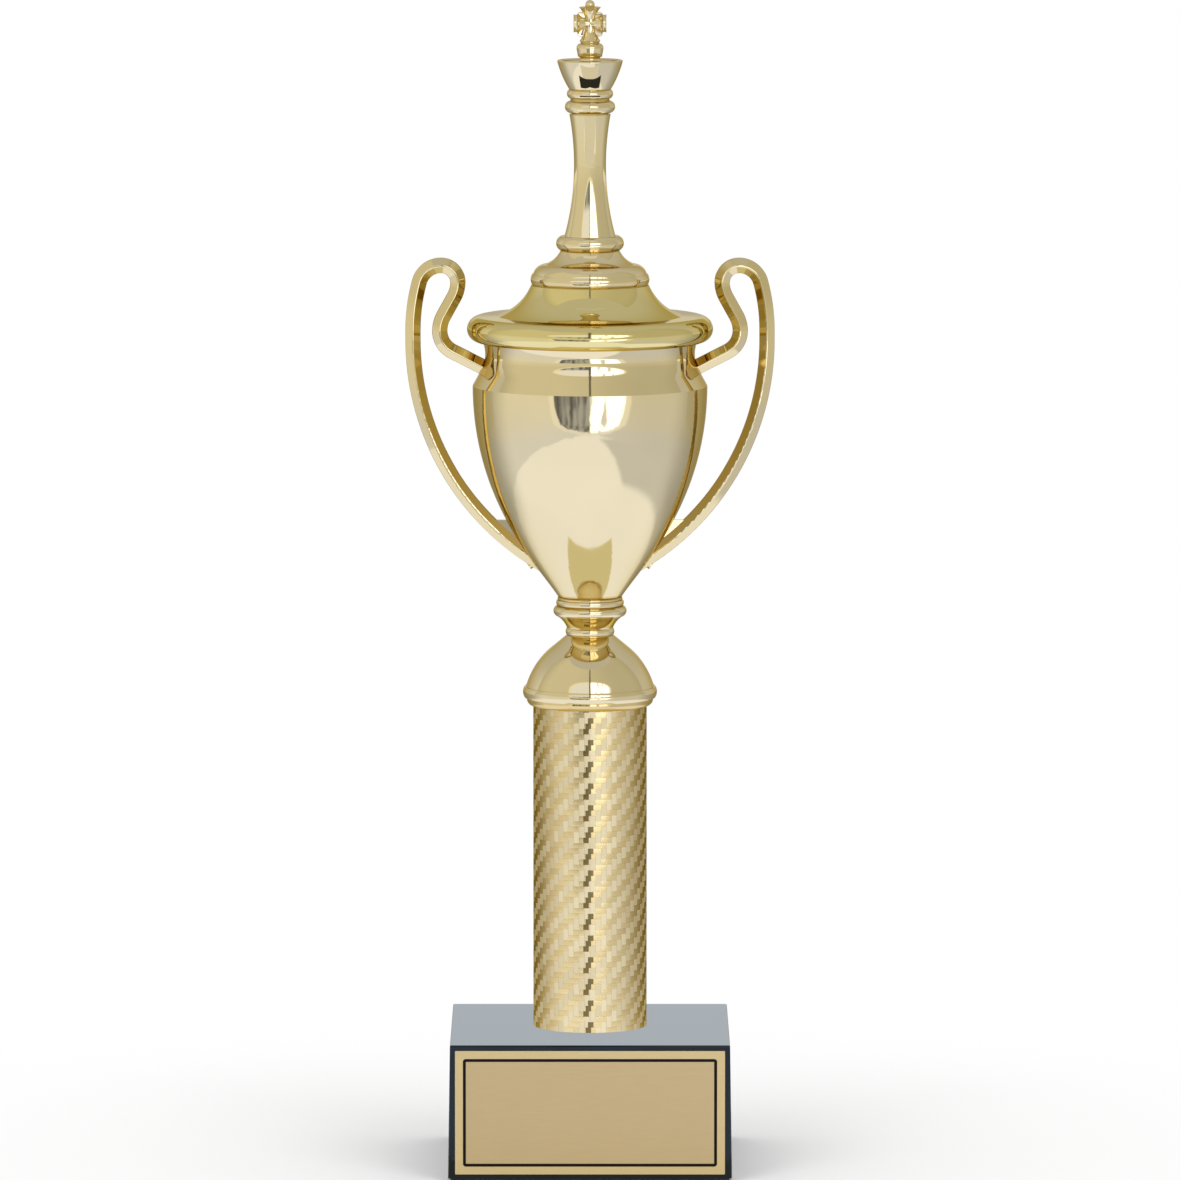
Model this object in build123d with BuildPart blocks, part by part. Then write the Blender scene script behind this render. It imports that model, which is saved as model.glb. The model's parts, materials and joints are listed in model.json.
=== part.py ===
from build123d import *
from math import cos, radians, sin, sqrt, tan
import os

# A lidded cup trophy with a chess king on its lid, 520 mm tall.  Millimetres, +Z up, front towards -Y.
# The origin is on the surface it stands on, under the trophy's axis.
# One long threaded rod draws base, column, riser, stem and cup together; the lid lifts off the cup.

# ---- driving dimensions -------------------------------------------------------------------------

# fits, each a gap on the radius or along the axis
rod_clearance = 0.35      # hole round a threaded rod
thread_gap = 0.04         # nut or moulded hole on a thread
spigot_gap = 0.15         # spigot in its socket
skin_gap = 0.02           # foil wrapped on the column tube
fill_gap = 0.4            # cast weight inside the base shell
root_gap = 0.03           # handle root on the cup's outside
lid_gap = 0.4             # lid round and inside the cup's mouth
lid_seat_gap = 0.05       # lid resting on the cup's lip
skirt_fit_gap = 0.02      # skirt ring glued inside the lid's rim

# fasteners, 1/4 inch
rod_radius = 3.175
rod_chamfer = 0.6
rod_end = 3.0             # rod or stud standing past its nut
nut_across_flats = 11.1
nut_height = 5.6
nut_chamfer = 0.7
washer_radius = 9.5
washer_thickness = 1.6
lock_washer_radius = 5.8
lock_washer_thickness = 1.5
lock_washer_slit = 1.0

# base
felt_thickness = 1.5
felt_inset = 1.2          # felt's edge inside the base's edge
felt_corner = 1.0
base_width = 126.0        # square, at the bottom edge
base_height = 59.5
base_draft = 0.87         # degrees, each side
base_wall = 2.6
base_top_wall = 3.4
base_corner = 1.6
base_edge = 0.7
cover_thickness = 3.0
recess_radius = 13.0      # room for a socket wrench round the lower nut
recess_depth = 16.0       # from the cover's underside up to the washer

# nameplate
plate_width = 119.6
plate_height = 55.1
plate_thickness = 0.6
plate_corner = 0.4
plate_rise = 29.55        # plate centre above the base's bottom edge
tape_thickness = 0.25
tape_margin = 2.0

# column
column_radius = 25.35     # over the foil
column_length = 144.4
tube_wall = 2.2
foil_thickness = 0.3
plug_height = 8.0
plug_web = 2.5
plug_wall = 2.0

# ring that caps the column
cap_radius = 28.2
cap_height = 3.6
cap_round = 2.7
cap_spigot_depth = 12.0
cap_spigot_wall = 2.0
cap_lip_height = 1.5

# domed riser
dome_rim_radius = 29.2
dome_rim_height = 4.9
dome_rim_bulge = 0.75
dome_radius = 28.6
dome_shoulder_radius = 16.3
dome_shoulder_height = 23.1
dome_bulge = 1.75
dome_height = 28.0
dome_top_radius = 10.4
dome_wall = 2.0
dome_top_wall = 3.0
dome_hole_radius = 6.0    # takes the stem's lower spigot

# turned stem
stem_height = 17.1
stem_foot_radius = 10.4
stem_bead_height = 3.2
stem_bead_bulge = 0.55
stem_waist_radius = 10.3
stem_cove_height = 5.2
stem_cove_bulge = 0.55
stem_knop_lip = 14.6      # where cove and knop meet
stem_knop_height = 4.8
stem_knop_bulge = 1.65
stem_knop_top = 14.75
stem_ring_height = 2.5
stem_ring_bulge = 0.35
stem_top_radius = 14.2
stem_top_ring_bulge = 0.3
stem_spigot_radius = 8.0
stem_spigot_height = 1.5

# cup
cup_wall = 1.8
cup_floor = 6.0
cup_foot_radius = 14.1
cup_foot_angle = 33.0     # degrees from upright
cup_foot_pull = 15.6
cup_body_radius = 52.3
cup_body_height = 94.7
cup_side_pull = 52.4
cup_waist_radius = 46.7   # narrowest part of the neck
cup_waist_height = 14.0   # this and the heights below are above the shoulder edge
cup_cone_height = 6.7     # cone up to the neck's cove
cup_cone_flare = 1.9      # cone's top wider than the waist
cup_lip_height = 19.6     # top of the cove
cup_lip_flare = 1.1       # lip wider than the waist
cup_neck_height = 23.2
cup_lip_round = 0.5

# handles: a chain of arcs in the XZ plane, from the cup's foot up, over and down to its neck
handle_width = 6.8        # across the band, in the plane of the loop
handle_depth = 7.6        # front ridge to back ridge
handle_side_flat = 2.6
handle_ridge_round = 0.5
handle_side_round = 0.9
handle_lid_gap = 0.6      # lid's rim to the inner leg, so that the lid lifts past it
handle_root_radius = 17.3     # centre line's start, from the trophy's axis
handle_root_rise = 12.5       # and above the cup's foot
handle_widest_rise = 20.2     # upright run's start above the cup's shoulder edge
handle_widest_run = 4.5
handle_shoulder_bend = 82.0
handle_shoulder_angle = 15.2
handle_crown_bend = 10.0
handle_inner_bend = 7.5
handle_swan_bend = 13.7
handle_swan_angle = 29.0
handle_swan_run = 9.6
handle_elbow_bend = 10.4
handle_elbow_angle = 63.0
web_thickness = 2.8
web_rise = 34.4           # top of the web above the cup's foot
peg_radius = 1.7
peg_gap = 0.05            # peg in the cup's wall
peg_root = 2.5            # lower peg's start inside the handle
peg_stand = 1.2           # peg past the inside of the cup's wall
upper_peg_length = 8.0
lower_peg_place = 0.18    # share of the cup's side, from its foot

# lid
lid_rim_width = 6.6       # rim's inside, round the cup's lip, to its outer edge
lid_rim_round = 5.7
lid_overhang = 3.6        # rim carried down outside the cup's lip
lid_crease_radius = 41.4
lid_crease_rise = 0.2
lid_bell_bulge = 2.32
lid_top_radius = 26.2
lid_top_rise = 13.9       # lid's flat top above its rim
lid_wall = 1.9
lid_top_wall = 2.6
lid_skirt_depth = 6.0
lid_skirt_wall = 1.6

# figure on the lid
plinth_edge_radius = 25.7
plinth_edge_height = 4.9
plinth_edge_bulge = 0.75
plinth_step = 0.4
plinth_turn_radius = 20.2     # where the convex shoulder turns into the cove
plinth_turn_height = 9.2
plinth_shoulder_bulge = 1.1
plinth_cove_bulge = 1.0
plinth_top_radius = 13.1
plinth_height = 15.4
plinth_recess_radius = 20.0   # hollow under the plinth
plinth_recess_depth = 6.0

king_foot_radius = 13.1
king_foot_height = 6.4
king_foot_bulge = 2.0
king_skirt_radius = 11.4      # shaft where it leaves its foot ring
king_skirt_height = 31.6
king_waist_radius = 7.1
king_neck_height = 22.8
king_neck_radius = 9.2
king_gap_radius = 8.2         # groove that sets the collar off from the shaft
king_gap_height = 0.6
king_collar_radius = 9.4
king_collar_height = 5.2
king_collar_bulge = 1.8
king_groove_radius = 8.7
king_groove_height = 1.2
king_ring_height = 4.0
king_ring_radius = 9.2
king_ring_bulge = 1.1
king_bore_depth = 30.0
king_spigot_radius = 4.0      # into the crown's socket
king_spigot_height = 5.0

crown_foot_radius = 9.3
crown_height = 13.0
crown_top_radius = 14.6
crown_bulge = 0.5
crown_edge = 0.5
crown_lip_width = 1.6
crown_dish_depth = 0.5

finial_foot_radius = 5.0
finial_foot_hollow = 0.3
finial_waist_radius = 4.55
finial_waist_rise = 1.6       # heights here are above the crown's dish
finial_band_radius = 5.4
finial_band_rise = 2.1
finial_knob_radius = 5.95
finial_knob_rise = 5.4
finial_knob_bulge = 0.75
finial_neck_radius = 4.0
finial_neck_rise = 7.9
finial_flare_radius = 4.6
finial_flare_rise = 9.0
cross_rise = 16.7             # centre of the cross
cross_waist_radius = 2.1
cross_lip_radius = 4.9
cross_lip_rise = 7.3          # lip of the upper arm above the cross's centre
cross_dish_depth = 0.7
cross_ball_radius = 2.1
cross_ball_sink = 0.4         # ball let into the dish
arm_flare_radius = 4.8
arm_flare_reach = 5.3
arm_end_radius = 4.1
arm_end_groove = 0.3
arm_reach = 7.3
arm_end_width = 1.7
pin_radius = 2.4              # finial's pin in the crown
pin_length = 4.5

# ---- levels along the axis, and radii that follow from others -----------------------------------

base_bottom = felt_thickness
base_top = base_bottom + base_height
column_top = base_top + column_length
dome_bottom = column_top + cap_height
stem_bottom = dome_bottom + dome_height
cup_bottom = stem_bottom + stem_height
cup_floor_level = cup_bottom + cup_floor
cup_shoulder_edge = cup_bottom + cup_body_height
cup_mouth = cup_shoulder_edge + cup_neck_height
cup_lip_radius = cup_waist_radius + cup_lip_flare
rim_inside = cup_lip_radius + lid_gap
lid_rim_radius = rim_inside + lid_rim_width
lid_seat = cup_mouth + lid_seat_gap
lid_rim_bottom = cup_mouth - lid_overhang
lid_rim_middle = lid_rim_bottom + lid_rim_round
lid_rim_top = lid_rim_middle + lid_rim_round
lid_top = lid_rim_top + lid_top_rise
king_bottom = lid_top + plinth_height
king_foot_top = king_bottom + king_foot_height
king_waist_level = king_foot_top + king_skirt_height
king_neck_top = king_waist_level + king_neck_height
king_collar_bottom = king_neck_top + king_gap_height
king_groove_bottom = king_collar_bottom + king_collar_height
king_ring_bottom = king_groove_bottom + king_groove_height
crown_bottom = king_ring_bottom + king_ring_height
crown_top = crown_bottom + crown_height
crown_dish = crown_top - crown_dish_depth
washer_seat = base_bottom + recess_depth
rod_hole_radius = rod_radius + rod_clearance
tube_radius = column_radius - foil_thickness - skin_gap
tube_bore = tube_radius - tube_wall


# ---- shared shapes ------------------------------------------------------------------------------

def turned_arc(start, end, bulge):
    """An arc that stands out to the right of its travel: a bead on an outline drawn upwards."""
    return SagittaArc(start, end, -bulge)


def cup_side(start_radius, start_level, edge_radius):
    """The cup's flared side, from a point near its foot up to its shoulder edge, upright at the top."""
    lean = (sin(radians(cup_foot_angle)), cos(radians(cup_foot_angle)))
    pull = cup_foot_pull - (start_level - cup_bottom) / lean[1]
    return Bezier(
        (start_radius, start_level),
        (start_radius + lean[0] * pull, start_level + lean[1] * pull),
        (edge_radius, cup_shoulder_edge - cup_side_pull),
        (edge_radius, cup_shoulder_edge),
    )


def cup_neck(offset):
    """The cup's neck, moved out by an offset: a cone from the shoulder edge, a cove and the lip."""
    waist = (cup_waist_radius + offset, cup_shoulder_edge + cup_waist_height)
    cone_top = (cup_waist_radius + cup_cone_flare + offset, cup_shoulder_edge + cup_cone_height)
    lip = (cup_lip_radius + offset, cup_shoulder_edge + cup_lip_height)
    Line((cup_body_radius + offset, cup_shoulder_edge), cone_top)
    TangentArc(waist, cone_top, tangent=(0, -1))
    TangentArc(waist, lip, tangent=(0, 1))
    Polyline(lip, (cup_lip_radius + offset, cup_mouth), (0, cup_mouth))


def threaded_rod(low, high):
    """A threaded rod's envelope between two levels, its ends chamfered."""
    with BuildPart(Plane.XY.offset(low)) as rod:
        Cylinder(rod_radius, high - low, align=(Align.CENTER, Align.CENTER, Align.MIN))
        chamfer(rod.edges().filter_by(GeomType.CIRCLE), rod_chamfer)
    return rod.part


def hex_nut(level):
    """A hex nut with its underside at a level."""
    with BuildPart() as nut:
        with BuildSketch(Plane.XY.offset(level)):
            RegularPolygon(nut_across_flats / 2, 6, major_radius=False)
            Circle(rod_radius + thread_gap, mode=Mode.SUBTRACT)
        extrude(amount=nut_height)
        # a turned cone takes the corners off, top and bottom
        with BuildSketch(Plane.XZ):
            corner = nut_across_flats / 2 / cos(radians(30))
            with BuildLine():
                Polyline(
                    (0, level),
                    (nut_across_flats / 2, level),
                    (corner, level + nut_chamfer),
                    (corner, level + nut_height - nut_chamfer),
                    (nut_across_flats / 2, level + nut_height),
                    (0, level + nut_height),
                    close=True,
                )
            make_face()
        revolve(axis=Axis.Z, mode=Mode.INTERSECT)
    return nut.part


def flat_washer(level):
    """A flat washer with its underside at a level."""
    with BuildPart() as washer:
        with BuildSketch(Plane.XY.offset(level)):
            Circle(washer_radius)
            Circle(rod_hole_radius, mode=Mode.SUBTRACT)
        extrude(amount=washer_thickness)
    return washer.part


def split_washer(level):
    """A spring lock washer, pulled flat, with its slit."""
    with BuildPart() as washer:
        with BuildSketch(Plane.XY.offset(level)):
            Circle(lock_washer_radius)
            Circle(rod_radius + thread_gap, mode=Mode.SUBTRACT)
            with Locations((lock_washer_radius, 0)):
                Rectangle(2 * lock_washer_radius, lock_washer_slit, mode=Mode.SUBTRACT)
        extrude(amount=lock_washer_thickness)
    return washer.part


parts = []


def keep(builder, name):
    """Labels a finished piece and puts it on the list to be written."""
    piece = builder.part if isinstance(builder, BuildPart) else builder
    piece.label = name
    parts.append(piece)


# ---- base ---------------------------------------------------------------------------------------

# one sheet of felt under the whole base, over the cover and the wrench recess
with BuildPart() as base_felt:
    with BuildSketch():
        RectangleRounded(base_width - 2 * felt_inset, base_width - 2 * felt_inset, felt_corner)
    extrude(amount=felt_thickness)
keep(base_felt, "base_felt")

# open-bottomed moulding, drafted out of its mould, with a boss round the rod's hole
with BuildPart() as base_shell:
    with BuildSketch(Plane.XY.offset(base_bottom)):
        RectangleRounded(base_width, base_width, base_corner)
    extrude(amount=base_height, taper=base_draft)
    fillet(base_shell.faces().sort_by(Axis.Z)[-1].outer_wire().edges(), base_edge)
    with BuildSketch(Plane.XY.offset(base_bottom)):
        Rectangle(base_width - 2 * base_wall, base_width - 2 * base_wall)
    extrude(amount=base_height - base_top_wall, taper=base_draft, mode=Mode.SUBTRACT)
    with BuildSketch(Plane.XY.offset(base_top)):
        Circle(rod_hole_radius)
    extrude(amount=-base_top_wall, mode=Mode.SUBTRACT)
keep(base_shell, "base_shell")

weight_bottom = base_bottom + cover_thickness
weight_width = base_width - 2 * (base_wall + fill_gap + cover_thickness * tan(radians(base_draft)))

with BuildPart() as base_weight:
    with BuildSketch(Plane.XY.offset(weight_bottom)):
        Rectangle(weight_width, weight_width)
    extrude(amount=base_top - base_top_wall - weight_bottom, taper=base_draft)
    with BuildSketch(Plane.XY.offset(weight_bottom)):
        Circle(recess_radius)
    extrude(amount=washer_seat - weight_bottom, mode=Mode.SUBTRACT)
    with BuildSketch(Plane.XY.offset(washer_seat)):
        Circle(rod_hole_radius)
    extrude(amount=base_top - washer_seat, mode=Mode.SUBTRACT)
keep(base_weight, "base_weight")

with BuildPart() as base_cover:
    with BuildSketch(Plane.XY.offset(base_bottom)):
        Rectangle(weight_width, weight_width)
        Circle(recess_radius, mode=Mode.SUBTRACT)
    extrude(amount=cover_thickness)
keep(base_cover, "base_cover")

# the nameplate lies on the drafted front face, on a sheet of double-sided tape
front_slope = radians(base_draft)
front_face = Plane(
    origin=(0, -(base_width / 2 - plate_rise * tan(front_slope)), base_bottom + plate_rise),
    x_dir=(1, 0, 0),
    z_dir=(0, -cos(front_slope), sin(front_slope)),
)

with BuildPart() as nameplate_tape:
    with BuildSketch(front_face):
        Rectangle(plate_width - 2 * tape_margin, plate_height - 2 * tape_margin)
    extrude(amount=tape_thickness)
keep(nameplate_tape, "nameplate_tape")

with BuildPart() as nameplate:
    with BuildSketch(front_face.offset(tape_thickness)):
        RectangleRounded(plate_width, plate_height, plate_corner)
    extrude(amount=plate_thickness)
keep(nameplate, "nameplate")

# ---- column -------------------------------------------------------------------------------------

with BuildPart() as column_plug:
    with BuildSketch(Plane.XY.offset(base_top)):
        Circle(tube_bore - spigot_gap)
    extrude(amount=plug_height)
    with BuildSketch(Plane.XY.offset(base_top + plug_web)):
        Circle(tube_bore - spigot_gap - plug_wall)
        Circle(rod_hole_radius + plug_wall, mode=Mode.SUBTRACT)
    extrude(amount=plug_height, mode=Mode.SUBTRACT)
    with BuildSketch(Plane.XY.offset(base_top)):
        Circle(rod_hole_radius)
    extrude(amount=plug_height, mode=Mode.SUBTRACT)
keep(column_plug, "column_plug")

with BuildPart() as column_tube:
    with BuildSketch(Plane.XY.offset(base_top)):
        Circle(tube_radius)
        Circle(tube_bore, mode=Mode.SUBTRACT)
    extrude(amount=column_length)
keep(column_tube, "column_tube")

with BuildPart() as column_foil:
    with BuildSketch(Plane.XY.offset(base_top)):
        Circle(column_radius)
        Circle(column_radius - foil_thickness, mode=Mode.SUBTRACT)
    extrude(amount=column_length)
keep(column_foil, "column_foil")

cap_spigot_radius = tube_bore - spigot_gap
cap_spigot_bottom = column_top - cap_spigot_depth
dome_bore = dome_radius - dome_wall
cap_lip_radius = dome_bore - spigot_gap

# a disc with a rounded edge, a spigot down into the tube and a low lip up inside the riser
with BuildPart() as column_cap:
    with BuildSketch(Plane.XZ):
        with BuildLine():
            Polyline(
                (rod_hole_radius, dome_bottom),
                (rod_hole_radius, column_top),
                (cap_spigot_radius - cap_spigot_wall, column_top),
                (cap_spigot_radius - cap_spigot_wall, cap_spigot_bottom),
                (cap_spigot_radius, cap_spigot_bottom),
                (cap_spigot_radius, column_top),
                (cap_radius - cap_round, column_top),
            )
            edge_round = JernArc((cap_radius - cap_round, column_top), (1, 0), cap_round, 90)
            Polyline(
                edge_round @ 1,
                (cap_radius, dome_bottom),
                (cap_lip_radius, dome_bottom),
                (cap_lip_radius, dome_bottom + cap_lip_height),
                (cap_lip_radius - cap_spigot_wall, dome_bottom + cap_lip_height),
                (cap_lip_radius - cap_spigot_wall, dome_bottom),
                (rod_hole_radius, dome_bottom),
            )
        make_face()
    revolve(axis=Axis.Z)
keep(column_cap, "column_cap")

# ---- riser and stem -----------------------------------------------------------------------------

dome_rim_top = dome_bottom + dome_rim_height
dome_shoulder = dome_bottom + dome_shoulder_height
dome_top_underside = stem_bottom - dome_top_wall

with BuildPart() as riser_dome:
    with BuildSketch(Plane.XZ):
        with BuildLine():
            Line((dome_bore, dome_bottom), (dome_rim_radius, dome_bottom))
            turned_arc((dome_rim_radius, dome_bottom), (dome_rim_radius, dome_rim_top), dome_rim_bulge)
            Line((dome_rim_radius, dome_rim_top), (dome_radius, dome_rim_top))
            turned_arc(
                (dome_radius, dome_rim_top), (dome_shoulder_radius, dome_shoulder), dome_bulge
            )
            Polyline(
                (dome_shoulder_radius, dome_shoulder),
                (dome_top_radius, stem_bottom),
                (dome_hole_radius, stem_bottom),
                (dome_hole_radius, dome_top_underside),
                (dome_top_radius - dome_wall, dome_top_underside),
                (dome_shoulder_radius - dome_wall, dome_shoulder - dome_wall),
            )
            turned_arc(
                (dome_shoulder_radius - dome_wall, dome_shoulder - dome_wall),
                (dome_bore, dome_rim_top),
                -dome_bulge,
            )
            Line((dome_bore, dome_rim_top), (dome_bore, dome_bottom))
        make_face()
    revolve(axis=Axis.Z)
keep(riser_dome, "riser_dome")

bead_top = stem_bottom + stem_bead_height
knop_bottom = bead_top + stem_cove_height
knop_top = knop_bottom + stem_knop_height
ring_top = knop_top + stem_ring_height
lower_spigot = dome_hole_radius - spigot_gap

# bead, cove, knop and two rings, with a spigot at each end
with BuildPart() as cup_stem:
    with BuildSketch(Plane.XZ):
        with BuildLine():
            Polyline(
                (rod_hole_radius, cup_bottom + stem_spigot_height),
                (rod_hole_radius, dome_top_underside),
                (lower_spigot, dome_top_underside),
                (lower_spigot, stem_bottom),
                (stem_foot_radius, stem_bottom),
            )
            turned_arc((stem_foot_radius, stem_bottom), (stem_waist_radius, bead_top), stem_bead_bulge)
            turned_arc((stem_waist_radius, bead_top), (stem_knop_lip, knop_bottom), -stem_cove_bulge)
            turned_arc((stem_knop_lip, knop_bottom), (stem_knop_top, knop_top), stem_knop_bulge)
            turned_arc((stem_knop_top, knop_top), (stem_knop_top, ring_top), stem_ring_bulge)
            Line((stem_knop_top, ring_top), (stem_top_radius, ring_top))
            turned_arc((stem_top_radius, ring_top), (stem_top_radius, cup_bottom), stem_top_ring_bulge)
            Polyline(
                (stem_top_radius, cup_bottom),
                (stem_spigot_radius, cup_bottom),
                (stem_spigot_radius, cup_bottom + stem_spigot_height),
                (rod_hole_radius, cup_bottom + stem_spigot_height),
            )
        make_face()
    revolve(axis=Axis.Z)
keep(cup_stem, "cup_stem")

# ---- cup ----------------------------------------------------------------------------------------

# the handle's centre line comes first, because the cup's peg holes follow it: up the outside,
# over the top and down the inner leg, which just clears the lid's rim
shoulder_turn = radians(handle_shoulder_angle)
inner_leg = lid_rim_radius + handle_lid_gap + handle_width / 2
handle_reach = (inner_leg + handle_inner_bend + handle_crown_bend * cos(shoulder_turn)
                + handle_shoulder_bend * (1 - cos(shoulder_turn)))
widest_level = cup_shoulder_edge + handle_widest_rise

with BuildLine(Plane.XZ) as handle_line:
    lower_arc = TangentArc(
        (handle_reach, widest_level),
        (handle_root_radius, cup_bottom + handle_root_rise),
        tangent=(0, -1),
    )
    upright = Line((handle_reach, widest_level), (handle_reach, widest_level + handle_widest_run))
    shoulder_arc = JernArc(upright @ 1, upright % 1, handle_shoulder_bend, handle_shoulder_angle)
    crown_arc = JernArc(shoulder_arc @ 1, shoulder_arc % 1, handle_crown_bend, 90 - handle_shoulder_angle)
    inner_arc = JernArc(crown_arc @ 1, crown_arc % 1, handle_inner_bend, 90)
    swan_out = JernArc(inner_arc @ 1, inner_arc % 1, handle_swan_bend, handle_swan_angle)
    swan_run = Line(swan_out @ 1, swan_out @ 1 + (swan_out % 1) * handle_swan_run)
    swan_back = JernArc(swan_run @ 1, swan_run % 1, handle_swan_bend, -handle_swan_angle)
    elbow_arc = JernArc(swan_back @ 1, swan_back % 1, handle_elbow_bend, -handle_elbow_angle)
    neck_reach = (elbow_arc @ 1).X - (cup_waist_radius - cup_wall - peg_stand)
    root_run = Line(elbow_arc @ 1, elbow_arc @ 1 - (elbow_arc % 1) * (neck_reach / (elbow_arc % 1).X))

# the web fills the wedge between handle and cup up to this height
sweep_bend = lower_arc.radius
web_top = cup_bottom + web_rise
web_reach = handle_reach - sweep_bend + sqrt(sweep_bend**2 - (widest_level - web_top) ** 2)

# a peg on each root goes through the cup's wall, the lower one square to it
side_line = cup_side(cup_foot_radius, cup_bottom, cup_body_radius)
side_spot = side_line.position_at(lower_peg_place)
side_slope = side_line.tangent_at(lower_peg_place)
wall_side = Plane(origin=(side_spot.X, 0, side_spot.Y), z_dir=(-side_slope.Y, 0, side_slope.X))
lower_peg = wall_side.offset(-peg_root)
lower_peg_length = peg_root + cup_wall + peg_stand
upper_peg = Plane(origin=root_run @ 1, z_dir=(root_run @ 0) - (root_run @ 1))


def root_pegs(radius):
    """The pegs of the right handle, or with a larger radius their holes in the cup."""
    with BuildPart() as pegs:
        for start, length in ((upper_peg, upper_peg_length), (lower_peg, lower_peg_length)):
            with BuildSketch(start):
                Circle(radius)
            extrude(amount=length)
    return pegs.part


def cup_outline(gap):
    """The cup's outside from foot to mouth, moved out by a gap, closed on the axis."""
    with BuildSketch(Plane.XZ) as outline:
        with BuildLine():
            Line((0, cup_bottom - gap), (cup_foot_radius + gap, cup_bottom - gap))
            cup_side(cup_foot_radius + gap, cup_bottom - gap, cup_body_radius + gap)
            cup_neck(gap)
            Line((0, cup_mouth), (0, cup_bottom - gap))
        make_face()
    return outline.sketch


# where the inside of the side wall meets the floor
floor_radius = (cup_foot_radius + cup_floor * tan(radians(cup_foot_angle))
                - cup_wall / cos(radians(cup_foot_angle)))

peg_holes = root_pegs(peg_radius + peg_gap)

with BuildPart() as cup_bowl:
    add(cup_outline(0))
    revolve(axis=Axis.Z)
    with BuildSketch(Plane.XZ):
        with BuildLine():
            cup_side(floor_radius, cup_floor_level, cup_body_radius - cup_wall)
            cup_neck(-cup_wall)
            Polyline((0, cup_mouth), (0, cup_floor_level), (floor_radius, cup_floor_level))
        make_face()
    revolve(axis=Axis.Z, mode=Mode.SUBTRACT)
    fillet(cup_bowl.edges().filter_by(GeomType.CIRCLE).group_by(Axis.Z)[-1], cup_lip_round)
    with BuildSketch(Plane.XY.offset(cup_bottom)):
        Circle(stem_spigot_radius + spigot_gap)
    extrude(amount=stem_spigot_height, mode=Mode.SUBTRACT)
    with BuildSketch(Plane.XY.offset(cup_bottom)):
        Circle(rod_hole_radius)
    extrude(amount=cup_floor, mode=Mode.SUBTRACT)
    add(peg_holes, mode=Mode.SUBTRACT)
    mirror(peg_holes, about=Plane.YZ, mode=Mode.SUBTRACT)
keep(cup_bowl, "cup_bowl")

# a ridged band swept round the loop, its roots trimmed to the cup
with BuildPart() as handle_right:
    band_plane = Plane(origin=lower_arc @ 1, x_dir=(0, 1, 0), z_dir=-(lower_arc % 1))
    with BuildSketch(band_plane) as band:
        with BuildLine():
            Polyline(
                (handle_depth / 2, 0),
                (handle_side_flat / 2, handle_width / 2),
                (-handle_side_flat / 2, handle_width / 2),
                (-handle_depth / 2, 0),
                (-handle_side_flat / 2, -handle_width / 2),
                (handle_side_flat / 2, -handle_width / 2),
                close=True,
            )
        make_face()
        corners = band.vertices().sort_by(Axis.Y)
        fillet((corners[0], corners[-1]), handle_ridge_round)
        fillet(band.vertices().sort_by(Axis.Y)[2:-2], handle_side_round)
    sweep(path=handle_line.line)
    with BuildSketch(Plane.XZ):
        with BuildLine():
            Polyline(
                (handle_root_radius, cup_bottom + handle_root_rise),
                (web_reach, web_top),
                (handle_root_radius, web_top),
                close=True,
            )
        make_face()
    extrude(amount=web_thickness / 2, both=True)
    add(cup_outline(root_gap))
    revolve(axis=Axis.Z, mode=Mode.SUBTRACT)
    add(root_pegs(peg_radius))
keep(handle_right, "handle_right")

with BuildPart() as handle_left:
    mirror(handle_right.part, about=Plane.YZ)
keep(handle_left, "handle_left")

# ---- tie rod and its fasteners --------------------------------------------------------------------

# from its seat the stack is washer, lock washer, nut and a little of the rod
lock_offset = washer_thickness
nut_offset = lock_offset + lock_washer_thickness
rod_offset = nut_offset + nut_height + rod_end

keep(threaded_rod(washer_seat - rod_offset, cup_floor_level + rod_offset), "tie_rod")

with BuildPart() as rod_washers:
    add(flat_washer(washer_seat - washer_thickness))
    add(flat_washer(cup_floor_level))
keep(rod_washers, "rod_washers")

with BuildPart() as lock_washers:
    add(split_washer(washer_seat - nut_offset))
    add(split_washer(cup_floor_level + lock_offset))
keep(lock_washers, "lock_washers")

with BuildPart() as rod_nuts:
    add(hex_nut(washer_seat - nut_offset - nut_height))
    add(hex_nut(cup_floor_level + nut_offset))
keep(rod_nuts, "rod_nuts")

# ---- lid ------------------------------------------------------------------------------------------

lid_top_underside = lid_top - lid_top_wall
rim_centre_radius = lid_rim_radius - lid_rim_round
rim_inside_bottom = lid_rim_middle - sqrt(lid_rim_round**2 - (rim_centre_radius - rim_inside) ** 2)
rim_wall_top = lid_seat + lid_wall
crease_level = lid_rim_top + lid_crease_rise

# the rim's hollow has straight walls, its corners on a circle inside the roll
hollow_round = lid_rim_round - lid_wall
hollow_reach = rim_centre_radius + hollow_round * cos(radians(30))
hollow_half = hollow_round * sin(radians(30))

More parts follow.
